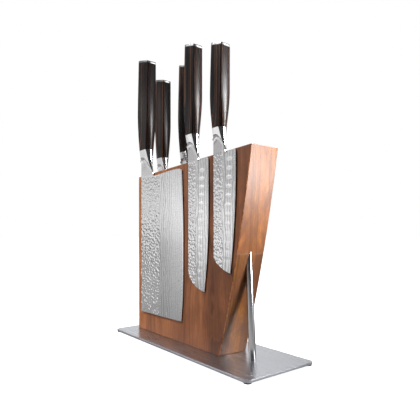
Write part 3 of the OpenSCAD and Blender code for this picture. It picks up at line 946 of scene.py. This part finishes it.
def grip_ring(k, s, above=0.0, shrink=0.0):
    """A ring of the grip at share s of its length. The butt end slants."""
    flat = grip_section(k, s, shrink)
    slant = BUTT_TILT * s ** 6
    shift = BUTT_SHIFT * s ** 2
    x = flat[:, 0] + k["cx"] + shift
    z = k["neck"] + s * k["grip"] - slant * flat[:, 0] + above
    return np.column_stack([x, flat[:, 1], z])


def handle_piece(k):
    stations = np.concatenate([np.linspace(0, 0.3, 16), np.linspace(0.34, 0.9, 15),
                               [0.94, 0.97, 1.0]])
    knife_piece(k, "grip_laminated", "handle", loft([grip_ring(k, s) for s in stations]),
                grip_material(k["name"] + "_grip_wood", k), 20)


def cap_piece(k, material):
    """Steel cap on the butt, with a rounded rim."""
    rings = [grip_ring(k, 1.0, 0.0), grip_ring(k, 1.0, CAP_T - CAP_RIM)]
    for i in range(1, 4):
        a = i / 3 * math.pi / 2
        rings.append(grip_ring(k, 1.0, CAP_T - CAP_RIM + CAP_RIM * math.sin(a) * 0.96,
                               CAP_RIM * (1 - math.cos(a)) * 1.6))
    knife_piece(k, "cap_polished", "end_cap", loft(rings), material, 20)


# ------------------------------------------------------------------ stand

def bevelled_copy(node, name, chosen, width, material, body):
    """The CAD node's own shape with its chosen outer edges softened."""
    bm = bmesh.new()
    bm.from_mesh(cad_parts[node].data)
    bmesh.ops.remove_doubles(bm, verts=bm.verts, dist=1e-6)
    bmesh.ops.dissolve_limit(bm, angle_limit=math.radians(0.06), verts=bm.verts,
                             edges=bm.edges)
    edges = [e for e in bm.edges if len(e.link_faces) == 2 and e.calc_face_angle() > 0.5
             and chosen(np.array(e.verts[0].co) / MM, np.array(e.verts[1].co) / MM)]
    bmesh.ops.bevel(bm, geom=edges, offset=width * MM, segments=2, affect="EDGES",
                    profile=0.5, clamp_overlap=True)
    bmesh.ops.triangulate(bm, faces=[f for f in bm.faces if len(f.verts) > 4])
    mesh = bpy.data.meshes.new(name)
    bm.to_mesh(mesh)
    bm.free()
    finish_mesh(mesh, 12)
    dress(name, mesh, material, body, [node])


def base_plate():
    def rim_edge(a, b):
        level = abs(a[2] - b[2]) < 0.01
        outer = all(abs(p[0]) > PLATE_HIGH[0] - PLATE_CORNER
                    or abs(p[1]) > PLATE_HIGH[1] - PLATE_CORNER for p in (a, b))
        return level and outer

    bevelled_copy("base_plate", "base_plate_brushed", rim_edge, PLATE_EASE, plate_material(),
                  "stand")


def block():
    """Five upright staves glued side by side, with their outer edges eased."""
    woods = [
        ((0.46, 0.205, 0.088), (0.255, 0.105, 0.047), (-150, 60), PLAIN_FLANK),
        ((0.42, 0.185, 0.080), (0.235, 0.095, 0.042), (-40, 95), PLAIN_FLANK),
        ((0.37, 0.165, 0.075), (0.205, 0.084, 0.038), (45, -110), PLAIN_FLANK),
        # Stave 4's flank tint is dark, painted shade on the lower part of the flared side; stave
        # 5's is bright, a painted highlight on its upper part.
        ((0.37, 0.155, 0.068), (0.150, 0.058, 0.026), (60, 85), (0.88, 0.92, 0.36)),
        ((0.33, 0.135, 0.058), (0.185, 0.072, 0.030), (128, 42), (1.40, 1.46, 0.80)),
    ]
    seams = [BLOCK_LOW[0], BLOCK_HIGH[0]]
    seams += [node_box("block_stave_4")[0][0], node_box("block_stave_5")[0][0]]

    def outer_edge(a, b):
        if any(abs(a[0] - x) < 0.01 and abs(b[0] - x) < 0.01 for x in seams):
            return False
        on_face = all(abs(abs(p[1]) - BLOCK_HALF) < 0.01 for p in (a, b)) and a[1] * b[1] > 0
        across = abs(a[0] - b[0]) < 0.01 and abs(a[2] - b[2]) < 0.01
        at_end = a[0] < seams[0] - 20 or a[0] > seams[3] + 5 or a[2] < PLATE_TOP + 0.01
        return on_face or across and at_end

    for i, (light, dark, pith, flank) in enumerate(woods, 1):
        material = wood_material(f"stave_{i}_wood", i * 3.1, pith, light, dark, flank)
        bevelled_copy(f"block_stave_{i}", f"block_stave_{i}_eased", outer_edge, BLOCK_EASE,
                      material, "stand")


def circle(radius, count):
    a = np.arange(count) / count * 2 * math.pi
    return radius * np.cos(a), radius * np.sin(a)


def rubber_feet():
    """Moulded feet with an eased lower rim, one under each corner."""
    low, high = node_box("rubber_feet")
    profile = [(FOOT_RADIUS, high[2]), (FOOT_RADIUS, low[2] + 0.6),
               (FOOT_RADIUS - 0.12, low[2] + 0.25), (FOOT_RADIUS - 0.5, low[2]),
               (FOOT_RADIUS * 0.5, low[2])]
    verts, faces = [], []
    for sx in (-1, 1):
        for sy in (-1, 1):
            cx, cy = (high[0] - FOOT_RADIUS) * sx, (high[1] - FOOT_RADIUS) * sy
            rings = []
            for radius, z in profile:
                x, y = circle(radius, 32)
                rings.append(np.column_stack([cx + x, cy + y, np.full(32, z)]))
            points, sides = loft(rings)
            start = len(verts)
            verts += list(points)
            faces += [tuple(start + i for i in side) for side in sides]
    piece("rubber_feet_moulded", verts, faces, rubber_material(), "stand", ["rubber_feet"],
          sharp=40)


def support_rod():
    """Round bar with an eased foot, leaning into the block's side."""
    screw_low, screw_high = node_box("rod_screw")
    foot_x = (screw_low[0] + screw_high[0]) / 2
    stations = [(0.0, ROD_RADIUS - 0.35), (0.35, ROD_RADIUS), (ROD_LENGTH / 2, ROD_RADIUS),
                (ROD_LENGTH - 0.4, ROD_RADIUS), (ROD_LENGTH, ROD_RADIUS - 0.4)]
    rings = []
    for along, radius in stations:
        x, y = circle(radius, 96)
        if along < 1:
            # the foot is cut level, to stand on the plate
            px = foot_x + x / math.cos(ROD_LEAN)
            pz = np.full_like(px, PLATE_TOP + along)
        else:
            px = foot_x + x * math.cos(ROD_LEAN) - along * math.sin(ROD_LEAN)
            pz = PLATE_TOP + along * math.cos(ROD_LEAN) + x * math.sin(ROD_LEAN)
        rings.append(np.column_stack([px, y, pz]))
    verts, faces = loft(rings)
    piece("support_rod_polished", verts, faces,
          polished_material("rod_steel", (0.64, 0.64, 0.65), 0.13), "stand",
          ["support_rod"], sharp=35)


def carried_over():
    """Screws and magnets keep their CAD shapes and get plated metal."""
    zinc = metal_material("zinc_plate", (0.52, 0.51, 0.47), (0.66, 0.65, 0.60), 0.30)
    nickel = metal_material("magnet_plate", (0.50, 0.49, 0.46), (0.62, 0.61, 0.57), 0.24)
    for node, material in (("block_screws", zinc), ("rod_screw", zinc),
                           ("bar_magnets", nickel)):
        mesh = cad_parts[node].data
        mesh.materials.clear()
        mesh.materials.append(material)


# ------------------------------------------------------------------ studio

def camera():
    """Level camera at the front right, at the height of the block's middle."""
    data = bpy.data.cameras.new("camera")
    data.lens, data.sensor_width = 36.16, 36.0
    data.shift_y = 0.0549
    data.clip_start, data.clip_end = 0.02, 50
    obj = bpy.data.objects.new("camera", data)
    bpy.context.scene.collection.objects.link(obj)
    obj.location = (0.4150, -0.3111, 0.1388)
    obj.rotation_euler = (math.radians(90), 0, math.radians(51.86))
    bpy.context.scene.camera = obj


def softbox(name, place, target, size, power, spread=180):
    """A white rectangular lamp, aimed at a point. Places and sizes are in metres."""
    data = bpy.data.lights.new(name, "AREA")
    data.shape, data.size, data.size_y = "RECTANGLE", size[0], size[1]
    data.energy = power
    data.spread = math.radians(spread)
    obj = bpy.data.objects.new(name, data)
    bpy.context.scene.collection.objects.link(obj)
    obj.location = place
    obj.rotation_euler = (Vector(place) - Vector(target)).to_track_quat("Z", "Y").to_euler()


def floor():
    """Pale paper: white to the camera, dimmer to other rays so that steel keeps its contrast."""
    mesh = bpy.data.meshes.new("floor")
    far = 12.0
    mesh.from_pydata([(-far, -far, 0), (far, -far, 0), (far, far, 0), (-far, far, 0)], [],
                     [(0, 1, 2, 3)])
    obj = bpy.data.objects.new("floor", mesh)
    bpy.context.scene.collection.objects.link(obj)
    s = Shader("floor_paper")
    s.surface(Base_Color=(0.86, 0.86, 0.87, 1), Roughness=0.9, Specular_IOR_Level=0.1,
              Emission_Color=(1, 1, 1, 1), Emission_Strength=1.0)
    dim = s.node("ShaderNodeBsdfDiffuse")
    s.put(dim.inputs["Color"], (0.32, 0.32, 0.32, 1))
    s.put(s.tree.nodes["Material Output"].inputs["Surface"], s.by_camera_ray(dim, s.bsdf))
    mesh.materials.append(s.material)


def surroundings():
    """White studio to the camera. To other rays it is dim, with a glow behind the object."""
    world = bpy.data.worlds.new("studio")
    world.use_nodes = True
    world.node_tree.nodes.clear()
    s = Nodes(world.node_tree)
    direction = s.node("ShaderNodeTexCoord").outputs["Generated"]
    dot = s.node("ShaderNodeVectorMath", operation="DOT_PRODUCT")
    s.put(dot.inputs[0], direction)
    s.put(dot.inputs[1], (-0.80, 0.50, 0.33))
    toward = dot.outputs["Value"]
    level = s.remap(toward, -0.5, 0.7, 0.05, 0.16, smooth=True)
    glow = s.remap(toward, 0.84, 0.98, 0.0, 0.88, smooth=True)
    above = s.remap(s.split(direction)["Z"], 0.03, 0.2, 0.25, 1.0)
    light, seen = s.node("ShaderNodeBackground"), s.node("ShaderNodeBackground")
    for node, strength in ((light, s.fused(glow, above, level)), (seen, 1.0)):
        s.put(node.inputs["Color"], (1, 1, 1, 1))
        s.put(node.inputs["Strength"], strength)
    out = s.node("ShaderNodeOutputWorld")
    s.put(out.inputs["Surface"], s.by_camera_ray(light, seen))
    bpy.context.scene.world = world
    bpy.context.scene.view_settings.view_transform = "Standard"


def lights():
    """Low panels at the front left that the steel mirrors, and lamps for the wood."""
    middle = (0.0, 0.0, 0.2)
    softbox("front_panel", (-0.73, -1.08, 0.15), middle, (0.85, 0.30), 1.0)
    softbox("left_panel", (-1.15, -0.55, 0.26), middle, (0.70, 0.28), 0.58)
    softbox("bolster_panel", (-0.86, -0.95, 0.54), middle, (1.05, 0.26), 0.55)
    softbox("cap_left", (-1.17, -0.59, 0.70), middle, (0.30, 0.10), 0.07)
    softbox("cap_right", (-0.89, -0.80, 1.02), middle, (0.60, 0.13), 0.20)
    softbox("cap_side", (0.55, 0.45, 0.72), middle, (0.3, 0.14), 0.25)
    softbox("front_high", (-0.85, -0.95, 1.5), middle, (0.45, 0.45), 38)
    softbox("right_panel", (0.47, 0.24, 0.38), (0.18, 0.0, 0.23), (0.16, 0.16), 0.75, spread=56)
    softbox("side_low", (0.85, 0.52, 0.10), (0.17, 0.0, 0.19), (0.40, 0.14), 1.15, spread=90)
    softbox("top", (0.1, 0.1, 1.5), middle, (1.6, 1.6), 5)


# ------------------------------------------------------------------ build

camera()
floor()
surroundings()
lights()

base_plate()
block()
rubber_feet()
support_rod()
carried_over()

BOLSTER_STEEL = polished_material("bolster_steel", (0.62, 0.615, 0.625), 0.18, (0.05, 1, 1))
CAP_STEEL = polished_material("cap_steel", (0.82, 0.82, 0.83), 0.12)
cleaver_blade(KNIVES["cleaver"])
santoku_blade(KNIVES["santoku"])
small_santoku_blade(KNIVES["small_santoku"])
pointed_blade(KNIVES["chef_knife"], w=46, length=198, seed=43)
pointed_blade(KNIVES["slicing_knife"], w=33, length=200, seed=47)
for knife in KNIVES.values():
    bolster_piece(knife, BOLSTER_STEEL)
    handle_piece(knife)
    cap_piece(knife, CAP_STEEL)
